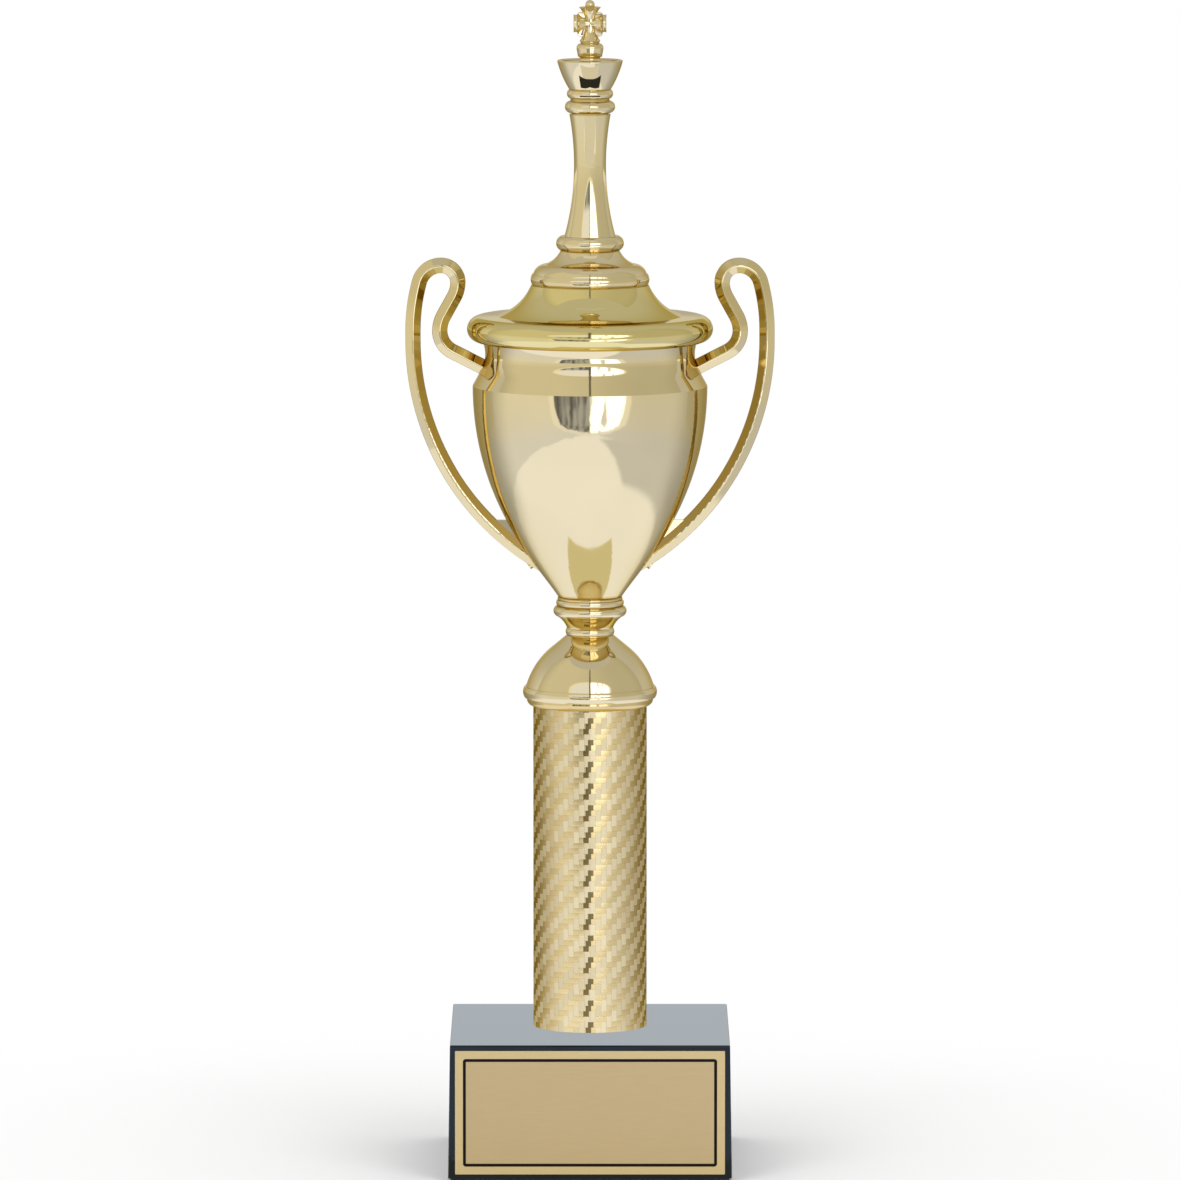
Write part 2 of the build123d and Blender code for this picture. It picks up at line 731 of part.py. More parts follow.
# a spun shell: flat top, bell and a rolled rim that closes over the cup's lip
with BuildPart() as lid:
    with BuildSketch(Plane.XZ):
        with BuildLine():
            Polyline(
                (rod_hole_radius, lid_top_underside),
                (rod_hole_radius, lid_top),
                (lid_top_radius, lid_top),
            )
            turned_arc((lid_crease_radius, crease_level), (lid_top_radius, lid_top), -lid_bell_bulge)
            Line((lid_crease_radius, crease_level), (rim_centre_radius, lid_rim_top))
            ThreePointArc(
                (rim_centre_radius, lid_rim_top),
                (lid_rim_radius, lid_rim_middle),
                (rim_inside, rim_inside_bottom),
            )
            Polyline(
                (rim_inside, rim_inside_bottom),
                (rim_inside, rim_wall_top),
                (rim_inside + lid_wall, rim_wall_top),
                (rim_inside + lid_wall, lid_rim_middle - hollow_half),
                (hollow_reach, lid_rim_middle - hollow_half),
                (hollow_reach, lid_rim_middle + hollow_half),
                (rim_centre_radius, lid_rim_middle + hollow_round),
                (lid_crease_radius, crease_level - lid_wall),
            )
            turned_arc(
                (lid_crease_radius, crease_level - lid_wall),
                (lid_top_radius - lid_wall, lid_top_underside),
                -lid_bell_bulge,
            )
            Line((lid_top_radius - lid_wall, lid_top_underside), (rod_hole_radius, lid_top_underside))
        make_face()
    revolve(axis=Axis.Z)
keep(lid, "lid")

skirt_radius = cup_waist_radius - cup_wall - lid_gap
skirt_bottom = lid_seat - lid_skirt_depth

# a ring set in the rim: its flange rests on the cup's lip, its skirt keeps the lid centred in the mouth
with BuildPart() as lid_skirt:
    with BuildSketch(Plane.XZ):
        with BuildLine():
            Polyline(
                (rim_inside - skirt_fit_gap, lid_seat),
                (rim_inside - skirt_fit_gap, rim_wall_top),
                (skirt_radius - lid_skirt_wall, rim_wall_top),
                (skirt_radius - lid_skirt_wall, skirt_bottom),
                (skirt_radius, skirt_bottom),
                (skirt_radius, lid_seat),
                close=True,
            )
        make_face()
    revolve(axis=Axis.Z)
keep(lid_skirt, "lid_skirt")

# ---- figure on the lid ----------------------------------------------------------------------------

plinth_edge_top = lid_top + plinth_edge_height
plinth_turn = lid_top + plinth_turn_height
plinth_roof = lid_top + plinth_recess_depth

# rounded edge, step, convex shoulder and cove, hollow underneath
with BuildPart() as figure_plinth:
    with BuildSketch(Plane.XZ):
        with BuildLine():
            Polyline(
                (rod_hole_radius, king_bottom),
                (rod_hole_radius, plinth_roof),
                (plinth_recess_radius, plinth_roof),
                (plinth_recess_radius, lid_top),
                (plinth_edge_radius, lid_top),
            )
            turned_arc(
                (plinth_edge_radius, lid_top), (plinth_edge_radius, plinth_edge_top), plinth_edge_bulge
            )
            Line(
                (plinth_edge_radius, plinth_edge_top), (plinth_edge_radius - plinth_step, plinth_edge_top)
            )
            turned_arc(
                (plinth_edge_radius - plinth_step, plinth_edge_top),
                (plinth_turn_radius, plinth_turn),
                plinth_shoulder_bulge,
            )
            turned_arc(
                (plinth_turn_radius, plinth_turn), (plinth_top_radius, king_bottom), -plinth_cove_bulge
            )
            Line((plinth_top_radius, king_bottom), (rod_hole_radius, king_bottom))
        make_face()
    revolve(axis=Axis.Z)
keep(figure_plinth, "figure_plinth")

# foot ring, waisted shaft, collar and ring, with a bore for the stud and a spigot for the crown
with BuildPart() as king_shaft:
    with BuildSketch(Plane.XZ):
        with BuildLine():
            Polyline(
                (0, king_bottom + king_bore_depth),
                (rod_radius + thread_gap, king_bottom + king_bore_depth),
                (rod_radius + thread_gap, king_bottom),
                (king_foot_radius, king_bottom),
            )
            turned_arc(
                (king_foot_radius, king_bottom), (king_foot_radius, king_foot_top), king_foot_bulge
            )
            Line((king_foot_radius, king_foot_top), (king_skirt_radius, king_foot_top))
            TangentArc(
                (king_waist_radius, king_waist_level), (king_skirt_radius, king_foot_top), tangent=(0, -1)
            )
            TangentArc(
                (king_waist_radius, king_waist_level), (king_neck_radius, king_neck_top), tangent=(0, 1)
            )
            Polyline(
                (king_neck_radius, king_neck_top),
                (king_gap_radius, king_neck_top),
                (king_gap_radius, king_collar_bottom),
                (king_collar_radius, king_collar_bottom),
            )
            turned_arc(
                (king_collar_radius, king_collar_bottom),
                (king_collar_radius, king_groove_bottom),
                king_collar_bulge,
            )
            Polyline(
                (king_collar_radius, king_groove_bottom),
                (king_groove_radius, king_groove_bottom),
                (king_groove_radius, king_ring_bottom),
                (king_ring_radius, king_ring_bottom),
            )
            turned_arc(
                (king_ring_radius, king_ring_bottom), (king_ring_radius, crown_bottom), king_ring_bulge
            )
            Polyline(
                (king_ring_radius, crown_bottom),
                (king_spigot_radius, crown_bottom),
                (king_spigot_radius, crown_bottom + king_spigot_height),
                (0, crown_bottom + king_spigot_height),
                (0, king_bottom + king_bore_depth),
            )
        make_face()
    revolve(axis=Axis.Z)
keep(king_shaft, "king_shaft")

crown_socket = king_spigot_radius + spigot_gap
crown_socket_top = crown_bottom + king_spigot_height + spigot_gap
crown_side_top = crown_top - crown_edge
dish_radius = crown_top_radius - crown_lip_width
pin_hole = pin_radius + spigot_gap
pin_hole_bottom = crown_dish - pin_length - spigot_gap

# a flared cap with a rounded lip round its shallow dish
with BuildPart() as king_crown:
    with BuildSketch(Plane.XZ):
        with BuildLine():
            Polyline(
                (0, pin_hole_bottom),
                (0, crown_socket_top),
                (crown_socket, crown_socket_top),
                (crown_socket, crown_bottom),
                (crown_foot_radius, crown_bottom),
            )
            turned_arc((crown_foot_radius, crown_bottom), (crown_top_radius, crown_side_top), crown_bulge)
            lip = JernArc((crown_top_radius, crown_side_top), (0, 1), crown_edge, 90)
            Polyline(
                lip @ 1,
                (dish_radius, crown_top),
                (dish_radius - crown_dish_depth, crown_dish),
                (pin_hole, crown_dish),
                (pin_hole, pin_hole_bottom),
                (0, pin_hole_bottom),
            )
        make_face()
    revolve(axis=Axis.Z)
keep(king_crown, "king_crown")

cross_centre = crown_dish + cross_rise
cross_lip = cross_centre + cross_lip_rise
cross_dish = cross_lip - cross_dish_depth
arm_end_start = arm_reach - arm_end_width

# turned foot and knob below a cross of two waisted members, the upright's top dished for a ball
with BuildPart() as king_finial:
    with BuildSketch(Plane.XZ):
        with BuildLine():
            Polyline(
                (0, crown_dish - pin_length),
                (pin_radius, crown_dish - pin_length),
                (pin_radius, crown_dish),
                (finial_foot_radius, crown_dish),
            )
            turned_arc(
                (finial_foot_radius, crown_dish),
                (finial_waist_radius, crown_dish + finial_waist_rise),
                -finial_foot_hollow,
            )
            Polyline(
                (finial_waist_radius, crown_dish + finial_waist_rise),
                (finial_band_radius, crown_dish + finial_band_rise),
                (finial_knob_radius, crown_dish + finial_knob_rise),
            )
            turned_arc(
                (finial_knob_radius, crown_dish + finial_knob_rise),
                (finial_neck_radius, crown_dish + finial_neck_rise),
                finial_knob_bulge,
            )
            Line(
                (finial_neck_radius, crown_dish + finial_neck_rise),
                (finial_flare_radius, crown_dish + finial_flare_rise),
            )
            TangentArc(
                (cross_waist_radius, cross_centre),
                (finial_flare_radius, crown_dish + finial_flare_rise),
                tangent=(0, -1),
            )
            TangentArc((cross_waist_radius, cross_centre), (cross_lip_radius, cross_lip), tangent=(0, 1))
            Polyline(
                (cross_lip_radius, cross_lip),
                (0, cross_dish),
                (0, crown_dish - pin_length),
            )
        make_face()
    revolve(axis=Axis.Z)
    # the arms are turned about a line from side to side
    with BuildSketch(Plane.XZ):
        with BuildLine():
            for side in (-1, 1):
                TangentArc(
                    (0, cross_centre + cross_waist_radius),
                    (side * arm_flare_reach, cross_centre + arm_flare_radius),
                    tangent=(side, 0),
                )
                Polyline(
                    (side * arm_flare_reach, cross_centre + arm_flare_radius),
                    (side * arm_end_start, cross_centre + arm_end_radius),
                )
                turned_arc(
                    (side * arm_end_start, cross_centre + arm_end_radius),
                    (side * arm_reach, cross_centre + arm_end_radius),
                    side * arm_end_groove,
                )
                Polyline(
                    (side * arm_reach, cross_centre + arm_end_radius),
                    (side * arm_reach, cross_centre),
                    (0, cross_centre),
                )
        make_face()
    revolve(axis=Axis((0, 0, cross_centre), (1, 0, 0)))
    with Locations((0, 0, cross_dish + cross_ball_radius - cross_ball_sink)):
        Sphere(cross_ball_radius)
keep(king_finial, "king_finial")

# the stud is moulded into the shaft and drawn down by a nut inside the lid
figure_nut_level = lid_top_underside - washer_thickness - nut_height

keep(threaded_rod(figure_nut_level - rod_end, king_bottom + king_bore_depth), "figure_stud")
keep(flat_washer(lid_top_underside - washer_thickness), "figure_washer")
keep(hex_nut(figure_nut_level), "figure_nut")

# ---- write the pieces -------------------------------------------------------------------------------

os.makedirs("parts", exist_ok=True)
for piece in parts:
    export_step(piece, f"parts/{piece.label}.step")
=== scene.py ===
import json
from math import pi, radians

import bmesh
import bpy
from mathutils import Matrix, Vector


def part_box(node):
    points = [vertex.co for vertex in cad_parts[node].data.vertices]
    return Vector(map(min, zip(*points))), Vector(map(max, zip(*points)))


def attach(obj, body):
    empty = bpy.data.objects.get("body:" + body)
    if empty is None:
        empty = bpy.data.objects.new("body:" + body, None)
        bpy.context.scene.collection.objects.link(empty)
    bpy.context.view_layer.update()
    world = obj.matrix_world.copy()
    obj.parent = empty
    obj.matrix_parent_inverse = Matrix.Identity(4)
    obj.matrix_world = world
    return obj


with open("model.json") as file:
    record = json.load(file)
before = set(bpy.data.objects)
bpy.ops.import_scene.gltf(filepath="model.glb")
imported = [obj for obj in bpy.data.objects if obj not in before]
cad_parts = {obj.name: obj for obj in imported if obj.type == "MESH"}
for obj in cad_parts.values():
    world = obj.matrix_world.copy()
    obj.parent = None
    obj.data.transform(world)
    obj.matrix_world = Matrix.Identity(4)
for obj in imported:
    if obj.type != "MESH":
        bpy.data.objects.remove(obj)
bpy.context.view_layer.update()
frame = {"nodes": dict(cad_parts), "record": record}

mm = 0.001
nodes = frame["nodes"]
print("frame loaded, nodes:", len(nodes))


def newMaterial(name):
    material = bpy.data.materials.new(name)
    material.use_nodes = True
    tree = material.node_tree
    return material, tree, tree.nodes["Principled BSDF"]


def addNode(tree, kind, **settings):
    node = tree.nodes.new(kind)
    for key, value in settings.items():
        setattr(node, key, value)
    return node


def feed(tree, socket, value):
    # a socket takes another node's output, or a plain value
    if isinstance(value, bpy.types.NodeSocket):
        tree.links.new(value, socket)
    else:
        socket.default_value = value


def mathNode(tree, operation, *values):
    node = addNode(tree, "ShaderNodeMath", operation=operation)
    for socket, value in zip(node.inputs, values):
        feed(tree, socket, value)
    return node.outputs[0]


def ramp(tree, value, low, high, start=0.0, end=1.0):
    # smooth run from start to end while the value goes from low to high
    node = addNode(tree, "ShaderNodeMapRange", interpolation_type="SMOOTHSTEP")
    for name, given in (("Value", value), ("From Min", low), ("From Max", high),
                        ("To Min", start), ("To Max", end)):
        feed(tree, node.inputs[name], given)
    return node.outputs["Result"]


def beyond(tree, value, edge, soft):
    # 1 past an edge, 0 short of it
    return ramp(tree, value, edge - soft, edge + soft)


def within(tree, value, edge, soft):
    return ramp(tree, value, edge - soft, edge + soft, 1.0, 0.0)


def product(tree, first, second):
    return mathNode(tree, "MULTIPLY", first, second)


def mixColour(tree, factor, first, second):
    node = addNode(tree, "ShaderNodeMix", data_type="RGBA")
    feed(tree, node.inputs[0], factor)
    feed(tree, node.inputs[6], first)
    feed(tree, node.inputs[7], second)
    return node.outputs[2]


def mixNumber(tree, factor, first, second):
    node = addNode(tree, "ShaderNodeMix", data_type="FLOAT")
    feed(tree, node.inputs[0], factor)
    feed(tree, node.inputs[2], first)
    feed(tree, node.inputs[3], second)
    return node.outputs[0]


def noise(tree, place, scale, detail=2.0):
    node = addNode(tree, "ShaderNodeTexNoise")
    feed(tree, node.inputs["Vector"], place)
    feed(tree, node.inputs["Scale"], scale)
    feed(tree, node.inputs["Detail"], detail)
    return node.outputs["Fac"]


def objectPlace(tree):
    return addNode(tree, "ShaderNodeTexCoord").outputs["Object"]


def axesOf(tree, place):
    node = addNode(tree, "ShaderNodeSeparateXYZ")
    feed(tree, node.inputs[0], place)
    return node.outputs[0], node.outputs[1], node.outputs[2]


def addBump(tree, shader, height, strength, distance):
    bump = addNode(tree, "ShaderNodeBump")
    feed(tree, bump.inputs["Strength"], strength)
    feed(tree, bump.inputs["Distance"], distance)
    feed(tree, bump.inputs["Height"], height)
    feed(tree, shader.inputs["Normal"], bump.outputs["Normal"])


def screenColour(red, green, blue):
    # a colour picked on screen, 0 to 255, as the shaders take it
    def channel(value):
        value /= 255
        return value / 12.92 if value <= 0.04045 else ((value + 0.055) / 1.055) ** 2.4
    return (channel(red), channel(green), channel(blue), 1.0)


def newGroup(name, inputs, outputs):
    group = bpy.data.node_groups.new(name, "ShaderNodeTree")
    for label, value in inputs.items():
        socket = group.interface.new_socket(name=label, in_out="INPUT", socket_type="NodeSocketFloat")
        socket.default_value = value
    for label in outputs:
        group.interface.new_socket(name=label, in_out="OUTPUT", socket_type="NodeSocketFloat")
    enter = addNode(group, "NodeGroupInput").outputs
    leave = addNode(group, "NodeGroupOutput").inputs
    return group, enter, leave


def placeGroup(tree, group, **values):
    node = addNode(tree, "ShaderNodeGroup", node_tree=group)
    for name, value in values.items():
        feed(tree, node.inputs[name.capitalize()], value)
    return node.outputs


skinLook = {
    "smearScale": 38.0,     # a scale is in repeats for each metre, here and below
    "smearDetail": 5.0,
    "smear": (0.48, 0.78),
    "toneScale": 24.0,
    "tone": (0.35, 0.70),
}


def makePlatedSkin():
    # faint waviness of a moulded, plated wall, and the haze that handling leaves on it
    look = skinLook
    group, enter, leave = newGroup(
        "platedSkin", {"Ripple": 0.0, "Haze": 0.0, "Clear": 0.0}, ("Height", "Roughness", "Tone"))
    place = objectPlace(group)
    feed(group, leave["Height"], noise(group, place, enter["Ripple"], 1.0))
    smear = ramp(group, noise(group, place, look["smearScale"], look["smearDetail"]), *look["smear"])
    haze = product(group, smear, enter["Haze"])
    feed(group, leave["Roughness"], mathNode(group, "ADD", haze, enter["Clear"]))
    feed(group, leave["Tone"], ramp(group, noise(group, place, look["toneScale"]), *look["tone"]))
    return group


def makeLevelBand():
    # 1 within a band of height about a level, 0 away from it
    group, enter, leave = newGroup("levelBand", {"Level": 0.0, "Half": 0.0, "Soft": mm}, ("Mask",))
    height = axesOf(group, objectPlace(group))[2]
    away = mathNode(group, "ABSOLUTE", mathNode(group, "SUBTRACT", height, enter["Level"]))
    edge = mathNode(group, "ADD", enter["Half"], enter["Soft"])
    feed(group, leave["Mask"], ramp(group, away, enter["Half"], edge, 1.0, 0.0))
    return group


# the part of a noise's run that a change of tone or of gloss takes up
speckRange = (0.3, 0.7)
roughRange = (0.2, 0.8)
speckDetail = 4.0

platedSkin = makePlatedSkin()
levelBand = makeLevelBand()

plating = {
    "gold": (0.82, 0.70, 0.42, 1.0),
    # painted shade: the darker gold laid into coves and grooves, standing in for shade and gold mirrored in
    # gold there
    "paintedCoveShade": (0.62, 0.44, 0.13, 1.0),
    "lidGold": (0.80, 0.68, 0.31, 1.0),
    "handleGold": (0.78, 0.65, 0.36, 1.0),
    "ringGold": (0.78, 0.60, 0.28, 1.0),
    # painted reflection: the darker gold on the handles' inward faces, standing in for the cup mirrored in
    # them
    "paintedInwardReflection": (0.50, 0.37, 0.12, 1.0),
    "edgeTint": (0.66, 0.54, 0.28, 1.0),   # what it turns to where it is seen edge on
    "toneDrop": 0.96,       # the tone's patches are this share as bright
    "clear": 0.05,
    "haze": 0.04,
    "ripple": 90.0,
    "rippleDepth": 0.2,     # mm
    "lift": 0.05,
    "bandSoft": 1.0,        # mm
    "inward": (0.1, 0.55),  # how squarely a face looks inwards, from none of the painted reflection to all
}


def inwardMask(tree):
    # 1 on the faces of a side piece that look back at the trophy's axis, which get a painted reflection of
    # the cup's gold
    across = axesOf(tree, objectPlace(tree))[0]
    facing = axesOf(tree, addNode(tree, "ShaderNodeTexCoord").outputs["Normal"])[0]
    inward = product(tree, mathNode(tree, "SIGN", across), product(tree, facing, -1.0))
    return ramp(tree, inward, *plating["inward"])


def coveShadeLevels(node, *hollows):
    # levels and half heights, in m, of hollows given in mm above a node's foot, where painted shade goes
    low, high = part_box(node)
    return [(low[2] + rise * mm, half * mm) for rise, half in hollows]


def makeGold(name, gold, shadeBands=(), inward=False):
    # bands are the hollows, where a deeper gold is laid in as painted shade; inward faces take a painted
    # reflection instead
    material, tree, shader = newMaterial(name)
    shader.inputs["Metallic"].default_value = 1.0
    shader.inputs["Specular Tint"].default_value = plating["edgeTint"]
    skin = placeGroup(tree, platedSkin, ripple=plating["ripple"], haze=plating["haze"],
                      clear=plating["clear"])
    darker = tuple(channel * plating["toneDrop"] for channel in gold[:3]) + (1.0,)
    colour = mixColour(tree, skin["Tone"], gold, darker)
    paintedLightMask = inwardMask(tree) if inward else None
    for level, half in shadeBands:
        soft = plating["bandSoft"] * mm
        shadeBand = placeGroup(tree, levelBand, level=level, half=half, soft=soft)["Mask"]
        paintedLightMask = shadeBand if paintedLightMask is None else mathNode(tree, "MAXIMUM", paintedLightMask, shadeBand)
    # painted shade in the hollows, or a painted reflection on inward faces
    if paintedLightMask is not None:
        colour = mixColour(tree, paintedLightMask, colour, plating["paintedInwardReflection" if inward else "paintedCoveShade"])
    feed(tree, shader.inputs["Base Color"], colour)
    feed(tree, shader.inputs["Roughness"], skin["Roughness"])
    addBump(tree, shader, skin["Height"], plating["lift"], plating["rippleDepth"] * mm)
    return material


foil = {
    "cellsRound": 64,
    "cellHeight": 2.44,     # mm
    "float": 2,             # a strip passes over this many others, then under as many
    "warp": screenColour(244, 228, 182),
    "weft": screenColour(236, 212, 152),
    "gap": screenColour(150, 118, 52),
    # painted reflection: the dark squares that stand in for the studio's dark slit mirrored up the column's
    # front
    "slitReflection": screenColour(96, 78, 34),
    # painted shade: the deeper tone the column's sides are drawn in, standing in for the darker edges of its
    # reflection
    "side": screenColour(168, 136, 62),
    "slitReflectionStart": -94.0,     # degrees round from +X; the front is at -90
    "slitReflectionStep": 2.35,       # each dark square lies this much further round than the one below it
    "slitReflectionHalf": 2.8,
    "edgeTint": (0.45, 0.36, 0.16, 1.0),
    "slitReflectionSquares": 3,       # of the rows in a repeat
    "slitReflectionDepth": 0.85,
    "gapWidth": 0.07,       # share of a cell
    "gapDepth": 0.35,
    "grooves": 9.0,         # fine lines across a cell
    "grooveDepth": 0.12,    # share of a strip's crown
    "lift": 0.25,
    "crownHeight": 0.05,    # mm
    "stretch": 0.75,        # how far the gloss is drawn out round the column
    "sides": (0.4, 1.0),    # from the front of the column to its sides, over which the painted shade comes in
    "weftSideShade": 0.75,       # how far a strip takes the sides' painted shade
    "warpSideShade": 0.45,
    "frontLuck": 0.16,      # how far floats differ from each other, at the front
    "sideLuck": 0.34,       # and at the sides
    "weftRough": 0.2,
    "warpRough": 0.42,
    "luckRough": 0.06,
}


def makeFoil():
    # gold film printed with a twill weave, each strip scored along its length
    material, tree, shader = newMaterial("wovenFoil")
    shader.inputs["Metallic"].default_value = 1.0
    shader.inputs["Anisotropic"].default_value = foil["stretch"]
    shader.inputs["Specular Tint"].default_value = foil["edgeTint"]
    tangent = addNode(tree, "ShaderNodeTangent", direction_type="RADIAL", axis="Z")
    feed(tree, shader.inputs["Tangent"], tangent.outputs[0])
    across, deep, up = axesOf(tree, objectPlace(tree))
    turn = mathNode(tree, "ARCTAN2", deep, across)
    column = product(tree, turn, foil["cellsRound"] / (2 * pi))
    row = mathNode(tree, "DIVIDE", up, foil["cellHeight"] * mm)
    columnNumber = mathNode(tree, "FLOOR", column)
    rowNumber = mathNode(tree, "FLOOR", row)
    step = mathNode(tree, "SUBTRACT", columnNumber, rowNumber)
    phase = mathNode(tree, "FLOORED_MODULO", step, 2.0 * foil["float"])
    warp = mathNode(tree, "LESS_THAN", phase, foil["float"] - 0.5)
    inColumn = mathNode(tree, "FRACT", column)
    inRow = mathNode(tree, "FRACT", row)

    # a float is numbered by its strip and its turn along it, and each differs a little
    cell = addNode(tree, "ShaderNodeCombineXYZ")
    floatNumber = mathNode(tree, "FLOOR", mathNode(tree, "DIVIDE", step, foil["float"] * 2.0))
    feed(tree, cell.inputs[0], floatNumber)
    feed(tree, cell.inputs[1], mixNumber(tree, warp, rowNumber, columnNumber))
    feed(tree, cell.inputs[2], warp)
    chance = addNode(tree, "ShaderNodeTexWhiteNoise", noise_dimensions="3D")
    feed(tree, chance.inputs["Vector"], cell.outputs[0])
    luck = chance.outputs["Value"]

    # dark joints run beside a warp strip's sides and above and below a weft strip
    inStrip = mixNumber(tree, warp, inRow, inColumn)
    sideAway = mathNode(tree, "ABSOLUTE", mathNode(tree, "SUBTRACT", inStrip, 0.5))
    joint = ramp(tree, sideAway, 0.5 - foil["gapWidth"], 0.5)
    colour = mixColour(tree, warp, foil["weft"], foil["warp"])
    # painted shade: the film is drawn deeper in tone along its sides, as the darker edges of its reflection,
    # and its floats also differ more there
    beside = ramp(tree, mathNode(tree, "ABSOLUTE", mathNode(tree, "COSINE", turn)), *foil["sides"])
    sideTone = mixNumber(tree, warp, foil["weftSideShade"], foil["warpSideShade"])
    colour = mixColour(tree, product(tree, beside, sideTone), colour, foil["side"])
    spread = mixNumber(tree, beside, foil["frontLuck"], foil["sideLuck"])
    colour = mixColour(tree, product(tree, luck, spread), colour, foil["gap"])
    colour = mixColour(tree, product(tree, joint, foil["gapDepth"]), colour, foil["gap"])

    # painted reflection: dark squares climb like stairs up the column's front, standing in for the studio's
    # dark slit mirrored there
    stair = mathNode(tree, "FLOORED_MODULO", rowNumber, 2.0 * foil["float"])
    middle = mathNode(tree, "MULTIPLY_ADD", stair, foil["slitReflectionStep"], foil["slitReflectionStart"])
    turnDegrees = product(tree, turn, 180 / pi)
    fromMiddle = mathNode(tree, "ABSOLUTE", mathNode(tree, "SUBTRACT", turnDegrees, middle))
    slitSquare = product(tree, mathNode(tree, "LESS_THAN", fromMiddle, foil["slitReflectionHalf"]),
                     mathNode(tree, "LESS_THAN", stair, foil["slitReflectionSquares"] - 0.5))
    colour = mixColour(tree, product(tree, slitSquare, foil["slitReflectionDepth"]), colour, foil["slitReflection"])
    feed(tree, shader.inputs["Base Color"], colour)
    rough = mixNumber(tree, warp, foil["weftRough"], foil["warpRough"])
    feed(tree, shader.inputs["Roughness"], mathNode(tree, "MULTIPLY_ADD", luck, foil["luckRough"], rough))

    # the strips are low crowns with fine scores along them
    crown = mathNode(tree, "COSINE", product(tree, sideAway, pi))
    score = mathNode(tree, "SINE", product(tree, inStrip, 2 * pi * foil["grooves"]))
    height = mathNode(tree, "MULTIPLY_ADD", score, foil["grooveDepth"], crown)
    addBump(tree, shader, height, foil["lift"], foil["crownHeight"] * mm)
    return material


basePaint = {
    "black": screenColour(2, 14, 22),
    "worn": screenColour(8, 24, 33),
    "bend": 1.36,           # index of refraction of the lacquer
    "clear": 0.03,
    "haze": 0.03,
    "ripple": 30.0,
    "rippleDepth": 0.1,     # mm
    "lift": 0.01,
}


def makeBlack():
    # polished black with the lightest smears
    material, tree, shader = newMaterial("polishedBlack")
    shader.inputs["IOR"].default_value = basePaint["bend"]
    skin = placeGroup(tree, platedSkin, ripple=basePaint["ripple"], haze=basePaint["haze"],
                      clear=basePaint["clear"])
    colour = mixColour(tree, skin["Tone"], basePaint["black"], basePaint["worn"])
    feed(tree, shader.inputs["Base Color"], colour)
    feed(tree, shader.inputs["Roughness"], skin["Roughness"])
    addBump(tree, shader, skin["Height"], basePaint["lift"], basePaint["rippleDepth"] * mm)
    return material


engravingPlate = {
    "gold": screenColour(189, 167, 126),
    "margin": screenColour(202, 181, 134),
    "line": screenColour(8, 2, 1),
    "edge": 3.5,            # mm, from the plate's edge to the line
    "lineWidth": 1.3,
    "corner": 1.3,
    "marginSoft": 0.1,
    "lineSoft": (0.06, 0.10),   # inside and outside the line's own edge
    "shine": 0.15,
    "metallic": 0.35,
    "grainScale": 4000.0,
    "grainStretch": 0.03,   # along the plate
    "grainTone": 0.03,
    "rough": (0.42, 0.52),
    "lift": 0.04,
    "grainDepth": 0.02,     # mm
}


def makePlate():
    # satin gold plate with a fine brushed grain and a printed border line
    material, tree, shader = newMaterial("borderedPlate")
    look = engravingPlate
    shader.inputs["Specular IOR Level"].default_value = look["shine"]
    low, high = (Vector(corner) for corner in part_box("nameplate"))
    middle = (low + high) / 2
    across, deep, up = axesOf(tree, objectPlace(tree))
    corner = look["corner"] * mm
    edge = look["edge"] * mm
    reachAcross = (high.x - low.x) / 2 - edge - corner
    reachUp = (high.z - low.z) / 2 - edge - corner
    pastAcross = mathNode(tree, "SUBTRACT", mathNode(tree, "ABSOLUTE", across), reachAcross)
    fromMiddle = mathNode(tree, "SUBTRACT", up, middle.z)
    pastUp = mathNode(tree, "SUBTRACT", mathNode(tree, "ABSOLUTE", fromMiddle), reachUp)
    outAcross = mathNode(tree, "POWER", mathNode(tree, "MAXIMUM", pastAcross, 0.0), 2.0)
    outUp = mathNode(tree, "POWER", mathNode(tree, "MAXIMUM", pastUp, 0.0), 2.0)
    outside = mathNode(tree, "SQRT", mathNode(tree, "ADD", outAcross, outUp))
    inside = mathNode(tree, "MINIMUM", mathNode(tree, "MAXIMUM", pastAcross, pastUp), 0.0)
    reach = mathNode(tree, "SUBTRACT", mathNode(tree, "ADD", outside, inside), corner)
    margin = beyond(tree, reach, 0.0, look["marginSoft"] * mm)
    half = look["lineWidth"] / 2 * mm
    fromLine = mathNode(tree, "ABSOLUTE", mathNode(tree, "ADD", reach, half))
    inner, outer = look["lineSoft"]
    line = ramp(tree, fromLine, half - inner * mm, half + outer * mm, 1.0, 0.0)
    stretch = addNode(tree, "ShaderNodeMapping")
    feed(tree, stretch.inputs["Vector"], objectPlace(tree))
    stretch.inputs["Scale"].default_value = (look["grainStretch"], 1.0, 1.0)
    grain = noise(tree, stretch.outputs[0], look["grainScale"])
    metal = mixColour(tree, margin, look["gold"], look["margin"])
    grained = mixColour(tree, ramp(tree, grain, *speckRange, 0.0, look["grainTone"]), metal, look["line"])
    feed(tree, shader.inputs["Base Color"], mixColour(tree, line, grained, look["line"]))
    feed(tree, shader.inputs["Metallic"], mixNumber(tree, line, look["metallic"], 0.0))
    feed(tree, shader.inputs["Roughness"], ramp(tree, grain, *roughRange, *look["rough"]))
    addBump(tree, shader, grain, look["lift"], look["grainDepth"] * mm)
    return material


